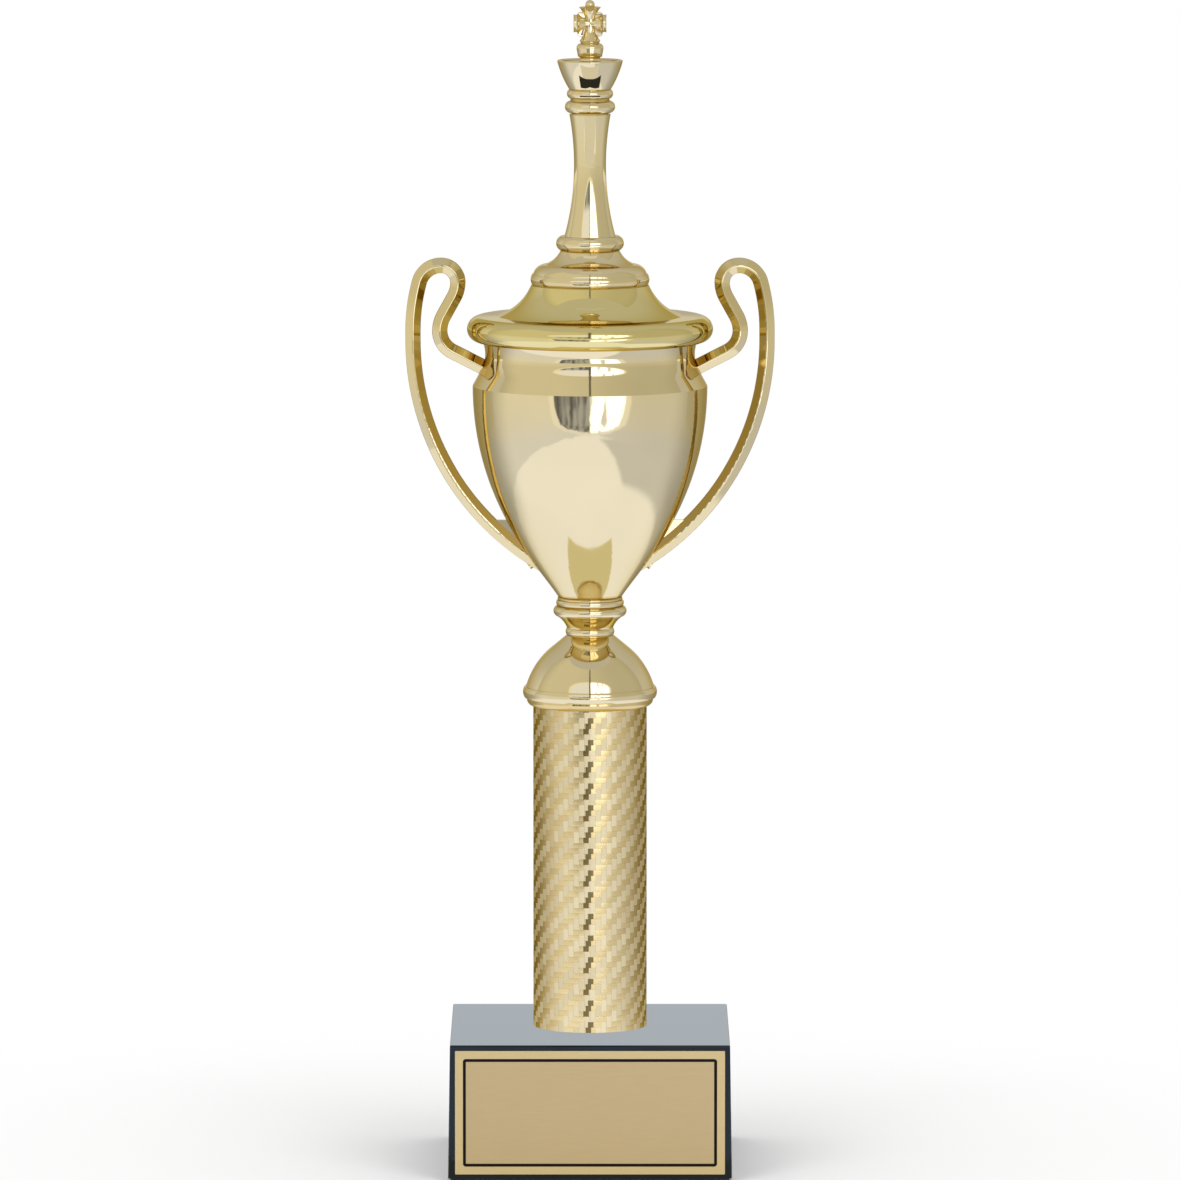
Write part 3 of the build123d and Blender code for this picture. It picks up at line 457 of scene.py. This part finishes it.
mottled = {
    "feltBlack": {"first": (0.012, 0.012, 0.013, 1), "second": (0.045, 0.045, 0.047, 1), "scale": 900.0,
                  "rough": (0.9, 1.0), "lift": 0.6, "depth": 0.3},
    "castPlaster": {"first": (0.62, 0.61, 0.57, 1), "second": (0.50, 0.49, 0.46, 1), "scale": 160.0,
                    "rough": (0.8, 0.95), "lift": 0.3, "depth": 0.3},
    "brownBoard": {"first": (0.22, 0.12, 0.06, 1), "second": (0.12, 0.065, 0.035, 1), "scale": 420.0,
                   "rough": (0.6, 0.8), "lift": 0.2, "depth": 0.1},
    "foamTape": {"first": (0.78, 0.78, 0.74, 1), "second": (0.66, 0.66, 0.63, 1), "scale": 1400.0,
                 "rough": (0.7, 0.9), "lift": 0.4, "depth": 0.1},
    "paleTube": {"first": (0.70, 0.69, 0.64, 1), "second": (0.62, 0.61, 0.57, 1), "scale": 120.0,
                 "rough": (0.35, 0.5), "lift": 0.05, "depth": 0.1},
    "zincSteel": {"first": (0.62, 0.63, 0.64, 1), "second": (0.48, 0.49, 0.50, 1), "scale": 500.0,
                  "rough": (0.18, 0.38), "lift": 0.08, "depth": 0.05, "metallic": 1.0},
}


def makeMottled(name):
    look = mottled[name]
    material, tree, shader = newMaterial(name)
    shader.inputs["Metallic"].default_value = look.get("metallic", 0.0)
    speck = noise(tree, objectPlace(tree), look["scale"], speckDetail)
    colour = mixColour(tree, ramp(tree, speck, *speckRange), look["first"], look["second"])
    feed(tree, shader.inputs["Base Color"], colour)
    feed(tree, shader.inputs["Roughness"], ramp(tree, speck, *roughRange, *look["rough"]))
    addBump(tree, shader, speck, look["lift"], look["depth"] * mm)
    return material


finishes = {
    # the stem's coves, the lid's skirt and the king's grooves get painted shade
    "gold_plating": makeGold("cupGold", plating["gold"],
                             coveShadeLevels("cup_stem", (8.8, 1.6), (16.2, 0.0), (20.3, 0.3))),
    "gold_lid": makeGold("lidGold", plating["lidGold"], coveShadeLevels("lid_skirt", (0.95, 1.6))),
    "gold_figure": makeGold("figureGold", plating["gold"],
                            coveShadeLevels("king_shaft", (61.1, 0.0), (67.2, 0.0), (0.2, 0.0))),
    "gold_handles": makeGold("handleGold", plating["handleGold"], inward=True),
    "gold_ring": makeGold("ringGold", plating["ringGold"]),
    "column_film": makeFoil(),
    "base_gloss": makeBlack(),
    "plate_gold": makePlate(),
    "under_felt": makeMottled("feltBlack"),
    "base_fill": makeMottled("castPlaster"),
    "base_board": makeMottled("brownBoard"),
    "tape_foam": makeMottled("foamTape"),
    "column_plastic": makeMottled("paleTube"),
    "zinc_steel": makeMottled("zincSteel"),
}
for part in frame["record"]["subparts"]:
    nodes[part["node"]].data.materials[0] = finishes[part["material_slot"]]
print("finishes set:", len(finishes))


def addMesh(name, bm):
    mesh = bpy.data.meshes.new(name)
    bm.to_mesh(mesh)
    bm.free()
    piece = bpy.data.objects.new(name, mesh)
    bpy.context.collection.objects.link(piece)
    return piece


def seenBy(piece, **kinds):
    for kind in ("camera", "diffuse", "glossy", "transmission", "shadow", "volume_scatter"):
        setattr(piece, "visible_" + kind, kinds.get(kind, False))


crossWeb = {
    "belowTop": 10.8,       # mm, from the ball's top down to the cross's middle
    "halfWide": 5.6,
    "halfTall": 5.4,
    "thick": 2.6,
    "corner": 1.3,
    "cornerSteps": 5,
    "rim": 0.7,
    "dish": 0.3,
    "edge": 0.25,
    "edgeSteps": 3,
    "sharp": 0.5,           # radians; a turn sharper than this is rounded
}


def roundEdges(bm, edges, size, steps):
    bmesh.ops.bevel(bm, geom=edges, offset=size * mm, segments=steps, profile=0.5,
                    affect="EDGES", material=-1)


def makeCrossWeb():
    # the dished web that fills the angles between the arms of the king's cross
    look = crossWeb
    bm = bmesh.new()
    bmesh.ops.create_cube(bm, size=2.0)
    reach = Vector((look["halfWide"], look["thick"] / 2, look["halfTall"])) * mm
    bmesh.ops.scale(bm, vec=reach, verts=bm.verts)
    through = [edge for edge in bm.edges if abs(edge.verts[0].co.y - edge.verts[1].co.y) > mm]
    roundEdges(bm, through, look["corner"], look["cornerSteps"])
    bm.normal_update()
    sides = [face for face in bm.faces if abs(face.normal.y) > 0.9]     # the front and the back
    bmesh.ops.inset_individual(bm, faces=sides, thickness=look["rim"] * mm, depth=-look["dish"] * mm)
    rims = [edge for edge in bm.edges if edge.is_manifold and edge.calc_face_angle() > look["sharp"]]
    roundEdges(bm, rims, look["edge"], look["edgeSteps"])
    for face in bm.faces:
        face.smooth = True
    low, high = (Vector(corner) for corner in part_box("king_finial"))
    middle = Vector(((low.x + high.x) / 2, (low.y + high.y) / 2, high.z - look["belowTop"] * mm))
    bmesh.ops.translate(bm, vec=middle, verts=bm.verts)
    bmesh.ops.recalc_face_normals(bm, faces=bm.faces)
    piece = addMesh("crossWeb", bm)
    piece.data.materials.append(finishes["gold_figure"])
    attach(piece, "lid")
    return piece


def fromAxis(tree, across, deep):
    squares = mathNode(tree, "ADD", mathNode(tree, "POWER", across, 2.0), mathNode(tree, "POWER", deep, 2.0))
    return mathNode(tree, "SQRT", squares)


floorLook = {
    "size": 60.0,           # m
    "colour": (0.95, 0.95, 0.95, 1.0),
    "nearRadius": 0.09,     # lit by the lamps, with the trophy's shadow
    "farRadius": 0.42,      # beyond this it is plain white
}


def makeFloor():
    bm = bmesh.new()
    bmesh.ops.create_grid(bm, x_segments=1, y_segments=1, size=floorLook["size"] / 2)
    floor = addMesh("floor", bm)
    material, tree, shader = newMaterial("paleFloor")
    shader.inputs["Base Color"].default_value = floorLook["colour"]
    shader.inputs["Roughness"].default_value = 1.0
    shader.inputs["Specular IOR Level"].default_value = 0.0
    glow = addNode(tree, "ShaderNodeEmission")
    blend = addNode(tree, "ShaderNodeMixShader")
    across, deep, up = axesOf(tree, objectPlace(tree))
    away = fromAxis(tree, across, deep)
    far = ramp(tree, away, floorLook["nearRadius"], floorLook["farRadius"])
    rays = addNode(tree, "ShaderNodeLightPath").outputs
    seen = mathNode(tree, "MAXIMUM", rays["Is Camera Ray"],
                    mathNode(tree, "MAXIMUM", rays["Is Glossy Ray"], rays["Is Transmission Ray"]))
    feed(tree, blend.inputs[0], product(tree, far, seen))
    tree.links.new(shader.outputs[0], blend.inputs[1])
    tree.links.new(glow.outputs[0], blend.inputs[2])
    tree.links.new(blend.outputs[0], tree.nodes["Material Output"].inputs["Surface"])
    floor.data.materials.append(material)
    return floor


tent = {
    "radius": 1.2,          # m
    "height": 2.4,
    "halfAngle": 110.0,     # degrees to each side of the front
    "wallSteps": 110,
    "discRadius": 8.0,
    "discLift": 0.5,        # mm
    "discSteps": 96,
    "cool": (0.96, 1.0, 1.18, 1.0),     # the light off the floor
    "warm": (1.04, 1.0, 0.84, 1.0),     # and off the walls' upper half
    "warmRise": (-0.4, 0.6),
    "left": 0.86,           # the walls' levels, low down
    "right": 0.71,
    "leftHigh": 0.72,
    "rightHigh": 0.56,
    "turn": (-45.0, 70.0),  # degrees over which the left level becomes the right one
    "highRise": (0.25, 0.55),
    "behind": 0.48,
    "behindTurn": (85.0, 125.0),
    "behindReach": (0.3, 0.6),
    "apronSlant": 0.0038,   # the white apron's edge falls this much, in m, for each degree from the front
    "apronEdge": -0.25,
    "apronSoft": 0.012,
    "apron": 1.08,
    "shade": 0.72,          # a shade across its right half, from near the trophy to well out
    "shadeFrom": 0.41,
    "shadeTo": 0.86,
    "shadeSoft": 0.03,
    "shadeSlant": 65.6,     # the shade's side turns this much, in degrees, for each m outwards
    "shadeEdge": -12.5,
    "shadeEdgeSoft": 3.5,
    "table": 0.72,          # darker on the square that the trophy stands on
    "tableReach": 0.13,
    "tableSoft": 0.004,
    "tableTone": (1.03, 0.97, 0.66, 1.0),
    "mouthAngle": 35.0,     # the opening for the lens: a lower half ellipse, in degrees and m
    "mouthTop": 0.26,
    "mouthHalf": 0.48,
    "windowAngle": 38.0,    # and a whole one above it
    "windowMiddle": 0.86,
    "windowHalf": 0.38,
    "openingSoft": 0.01,
    "openingEdge": 0.995,   # where the openings end, as shares of their ellipses
    "openingEdgeSoft": 0.015,
    "rim": 0.98,
    "mouthRim": (1.1, 1.2),
    "windowRim": (1.05, 1.12),
    "bright": 2.1,          # what stands in an opening's right half
    "brightMurk": 0.85,
    "brightCloud": (0.50, 0.66),
    "dark": 0.14,           # and in its left half
    "darkMurk": 0.48,
    "darkCloud": (0.40, 0.62),
    "pale": 1.0,
    "darkTop": 0.70,        # m, above which the left half is pale
    "darkTopSoft": 0.06,
    "splitSoft": 1.0,
    "cloudScale": 9.0,
    "cloudStretch": 0.25,   # upright
    "slit": 0.10,           # the dark seam up the front
    "slitHalf": 1.3,
    "slitSoft": 0.6,
    "slitFoot": (0.46, 0.51),
}


def ellipse(tree, angle, climb, wide, middle, tall):
    # how far out a point is, 1 on the ellipse itself
    across = mathNode(tree, "DIVIDE", angle, wide)
    upright = mathNode(tree, "DIVIDE", mathNode(tree, "SUBTRACT", climb, middle), tall)
    return fromAxis(tree, across, upright)


def apronLight(tree, across, deep, angle, climb, away):
    # the floor's level: white, shaded on the right, darker under the trophy
    shadeEdge = mathNode(tree, "MULTIPLY_ADD", climb, tent["shadeSlant"], angle)
    reach = product(tree, beyond(tree, away, tent["shadeFrom"], tent["shadeSoft"]),
                    within(tree, away, tent["shadeTo"], tent["shadeSoft"]))
    shaded = product(tree, beyond(tree, shadeEdge, tent["shadeEdge"], tent["shadeEdgeSoft"]), reach)
    level = mixNumber(tree, shaded, tent["apron"], tent["shade"])
    fromSide = mathNode(tree, "ABSOLUTE", across)
    fromCentre = mathNode(tree, "MAXIMUM", fromSide, mathNode(tree, "ABSOLUTE", deep))
    table = within(tree, fromCentre, tent["tableReach"], tent["tableSoft"])
    return mixNumber(tree, table, level, tent["table"]), table


def openings(tree, angle, climb):
    # masks of the openings and of the pale rims round them
    mouth = ellipse(tree, angle, climb, tent["mouthAngle"], tent["mouthTop"], tent["mouthHalf"])
    window = ellipse(tree, angle, climb, tent["windowAngle"], tent["windowMiddle"], tent["windowHalf"])
    belowTop = within(tree, climb, tent["mouthTop"], tent["openingSoft"])
    mouthRim = product(tree, belowTop, ramp(tree, mouth, *tent["mouthRim"], 1.0, 0.0))
    rim = mathNode(tree, "MAXIMUM", mouthRim, ramp(tree, window, *tent["windowRim"], 1.0, 0.0))
    edge, soft = tent["openingEdge"], tent["openingEdgeSoft"]
    lower = product(tree, belowTop, within(tree, mouth, edge, soft))
    return mathNode(tree, "MAXIMUM", lower, within(tree, window, edge, soft)), rim


def insideLight(tree, angle, climb):
    # what shows through the openings, streaked upright: dark on the left, bright on the right
    streaks = addNode(tree, "ShaderNodeMapping")
    feed(tree, streaks.inputs["Vector"], objectPlace(tree))
    streaks.inputs["Scale"].default_value = (1.0, 1.0, tent["cloudStretch"])
    cloudy = noise(tree, streaks.outputs[0], tent["cloudScale"], 1.0)
    murk = ramp(tree, cloudy, *tent["darkCloud"], tent["dark"], tent["darkMurk"])
    dark = mixNumber(tree, beyond(tree, climb, tent["darkTop"], tent["darkTopSoft"]), murk, tent["pale"])
    bright = ramp(tree, cloudy, *tent["brightCloud"], tent["bright"], tent["brightMurk"])
    return mixNumber(tree, beyond(tree, angle, 0.0, tent["splitSoft"]), dark, bright)


def tentLight(tree):
    # the tent's level and colour, by the angle from the front and by how far it climbs, which is
    # the height on the wall and counts down from 0 towards the trophy on the floor
    across, deep, up = axesOf(tree, objectPlace(tree))
    turn = mathNode(tree, "ARCTAN2", across, product(tree, deep, -1.0))
    angle = product(tree, turn, 180 / pi)
    aside = mathNode(tree, "ABSOLUTE", angle)
    away = fromAxis(tree, across, deep)
    climb = mathNode(tree, "ADD", up, mathNode(tree, "SUBTRACT", away, tent["radius"]))

    wallLow = ramp(tree, angle, *tent["turn"], tent["left"], tent["right"])
    wallHigh = ramp(tree, angle, *tent["turn"], tent["leftHigh"], tent["rightHigh"])
    wall = mixNumber(tree, ramp(tree, climb, *tent["highRise"]), wallLow, wallHigh)
    apron, table = apronLight(tree, across, deep, angle, climb, away)
    slanted = mathNode(tree, "MULTIPLY_ADD", aside, tent["apronSlant"], climb)
    level = mixNumber(tree, beyond(tree, slanted, tent["apronEdge"], tent["apronSoft"]), apron, wall)
    behind = product(tree, ramp(tree, aside, *tent["behindTurn"]), ramp(tree, away, *tent["behindReach"]))
    level = mixNumber(tree, behind, level, tent["behind"])

    opening, rim = openings(tree, angle, climb)
    level = mixNumber(tree, rim, level, tent["rim"])
    level = mixNumber(tree, opening, level, insideLight(tree, angle, climb))
    slit = product(tree, within(tree, aside, tent["slitHalf"], tent["slitSoft"]),
                   ramp(tree, climb, *tent["slitFoot"]))
    level = mixNumber(tree, slit, level, tent["slit"])
    colour = mixColour(tree, ramp(tree, climb, *tent["warmRise"]), tent["cool"], tent["warm"])
    colour = mixColour(tree, opening, colour, tent["cool"])
    return level, mixColour(tree, table, colour, tent["tableTone"])


def makeTent():
    # the white tent that the trophy stands in, which only shows in what it reflects
    bm = bmesh.new()
    foot = bm.verts.new((0.0, -tent["radius"], 0.0))
    head = bm.verts.new((0.0, -tent["radius"], tent["height"]))
    wall = bm.edges.new((foot, head))
    start = Matrix.Rotation(radians(-tent["halfAngle"]), 4, "Z")
    bmesh.ops.transform(bm, matrix=start, verts=bm.verts[:])
    bmesh.ops.spin(bm, geom=[foot, head, wall], cent=(0, 0, 0), axis=(0, 0, 1),
                   angle=radians(2 * tent["halfAngle"]), steps=tent["wallSteps"])
    bmesh.ops.create_circle(bm, cap_ends=True, segments=tent["discSteps"], radius=tent["discRadius"],
                            matrix=Matrix.Translation((0, 0, tent["discLift"] * mm)))
    backdrop = addMesh("lightTent", bm)
    material, tree, shader = newMaterial("tentCloth")
    material.cycles.emission_sampling = "NONE"
    glow = addNode(tree, "ShaderNodeEmission")
    level, colour = tentLight(tree)
    feed(tree, glow.inputs["Strength"], level)
    feed(tree, glow.inputs["Color"], colour)
    tree.links.new(glow.outputs[0], tree.nodes["Material Output"].inputs["Surface"])
    tree.nodes.remove(shader)
    backdrop.data.materials.append(material)
    seenBy(backdrop, glossy=True)
    return backdrop


# corners are in mm: to the right and back from the trophy's axis, and up from the crown's foot
cards = {
    # a small dark card that only the figure's crown mirrors
    "crownCard": {
        "corners": ((-9.8, -11.4, -7.4), (-17.4, -20.8, -7.4), (0.0, -22.0, -7.4),
                    (17.4, -20.8, -7.4), (9.8, -11.4, -7.4), (0.0, -14.9, -7.4)),
        "level": 0.03,
    },
    # and a pale one that the shaft below it mirrors
    "shaftCard": {
        "corners": ((20.0, -34.0, -35.9), (-20.0, -34.0, -35.9), (-20.0, -34.0, -4.9), (20.0, -34.0, -4.9)),
        "level": 0.80,
    },
}


def makeCard(name, look):
    # it only shows in reflections, and from behind it is clear
    bm = bmesh.new()
    low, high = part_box("king_crown")
    foot = Vector((0.0, 0.0, low[2]))
    bm.faces.new([bm.verts.new(foot + Vector(corner) * mm) for corner in look["corners"]])
    backdrop = addMesh(name, bm)
    material, tree, shader = newMaterial(name)
    tree.nodes.remove(shader)
    glow = addNode(tree, "ShaderNodeEmission")
    glow.inputs["Strength"].default_value = look["level"]
    blend = addNode(tree, "ShaderNodeMixShader")
    tree.links.new(addNode(tree, "ShaderNodeNewGeometry").outputs["Backfacing"], blend.inputs[0])
    tree.links.new(glow.outputs[0], blend.inputs[1])
    tree.links.new(addNode(tree, "ShaderNodeBsdfTransparent").outputs[0], blend.inputs[2])
    tree.links.new(blend.outputs[0], tree.nodes["Material Output"].inputs["Surface"])
    backdrop.data.materials.append(material)
    seenBy(backdrop, glossy=True)
    return backdrop


lamps = {
    "leftBox": {"place": (-1.6, -2.4, 1.3), "size": (1.4, 2.2), "power": 26.0},
    "rightBox": {"place": (1.6, -2.4, 1.3), "size": (1.4, 2.2), "power": 26.0},
    "topBox": {"place": (0.0, 0.2, 2.4), "size": (2.5, 2.5), "power": 22.0},
}


lampAim = (0, 0, 0.25)


def addLamps():
    for name, lamp in lamps.items():
        light = bpy.data.lights.new(name, "AREA")
        light.shape = "RECTANGLE"
        light.size, light.size_y = lamp["size"]
        light.energy = lamp["power"]
        box = bpy.data.objects.new(name, light)
        box.location = lamp["place"]
        aim = Vector(lampAim) - Vector(lamp["place"])
        box.rotation_euler = aim.to_track_quat("-Z", "Y").to_euler()
        box.visible_camera = False
        box.visible_glossy = False
        bpy.context.collection.objects.link(box)


worldLight = {
    "fill": 0.55,           # what plain surfaces get
    "back": 0.68,           # what polished ones see, by direction
    "left": 0.86,
    "right": 0.62,
    "top": 0.60,
    "sideTurn": (-0.6, 0.6),    # these are shares of a direction, 1 straight along it
    "backTurn": (0.1, 0.8),
    "topTurn": (0.2, 0.6),
    "strip": 1.02,          # low behind the trophy, where the base's top looks
    "stripTone": (0.95, 1.03, 1.09, 1.0),
    "stripHeight": 0.15,
    "stripHalf": 0.06,
    "stripSoft": 0.01,
    "stripTurn": (0.93, 0.96),
}


def makeWorld():
    world = bpy.data.worlds.new("studio")
    world.use_nodes = True
    bpy.context.scene.world = world
    tree = world.node_tree
    sky = tree.nodes["Background"]
    direction = addNode(tree, "ShaderNodeTexCoord").outputs["Generated"]
    across, deep, up = axesOf(tree, direction)
    look = worldLight
    sides = ramp(tree, across, *look["sideTurn"], look["left"], look["right"])
    level = mixNumber(tree, ramp(tree, deep, *look["backTurn"]), sides, look["back"])
    level = mixNumber(tree, ramp(tree, up, *look["topTurn"]), level, look["top"])
    offStrip = mathNode(tree, "ABSOLUTE", mathNode(tree, "SUBTRACT", up, look["stripHeight"]))
    strip = product(tree, within(tree, offStrip, look["stripHalf"], look["stripSoft"]),
                    ramp(tree, deep, *look["stripTurn"]))
    level = mixNumber(tree, strip, level, look["strip"])
    rays = addNode(tree, "ShaderNodeLightPath").outputs
    strength = mixNumber(tree, rays["Is Glossy Ray"], look["fill"], level)
    seen = mathNode(tree, "MAXIMUM", rays["Is Camera Ray"], rays["Is Transmission Ray"])
    tinted = product(tree, strip, rays["Is Glossy Ray"])
    feed(tree, sky.inputs["Color"], mixColour(tree, tinted, (1, 1, 1, 1), look["stripTone"]))
    feed(tree, sky.inputs["Strength"], mixNumber(tree, seen, strength, 1.0))


view = {
    "eye": (0.0, -5.0, 0.826),      # m
    "aim": (0.0, 0.0, 0.257),
    "lens": 343.94,                 # mm
    "sensor": 36.0,
    "farClip": 100.0,               # m, past the floor's corners
}


def addCamera():
    camera = bpy.data.objects.new("camera", bpy.data.cameras.new("camera"))
    camera.data.lens = view["lens"]
    camera.data.sensor_width = view["sensor"]
    camera.data.clip_end = view["farClip"]
    camera.location = view["eye"]
    look = Vector(view["aim"]) - Vector(view["eye"])
    camera.rotation_euler = look.to_track_quat("-Z", "Y").to_euler()
    bpy.context.collection.objects.link(camera)
    bpy.context.scene.camera = camera


# the base, the column and the rod keep out of reflections, so that gold above them mirrors the studio alone
lowNodes = ("base_felt", "base_shell", "base_weight", "base_cover", "nameplate", "nameplate_tape",
            "column_plug", "column_tube", "column_foil", "tie_rod", "rod_nuts", "rod_washers", "lock_washers")
for name in lowNodes:
    nodes[name].visible_glossy = False

makeCrossWeb()
print("pieces made")

makeFloor()
makeTent()
for name, look in cards.items():
    makeCard(name, look)
addLamps()
makeWorld()
addCamera()
bpy.context.scene.view_settings.view_transform = "Standard"
print("studio ready")
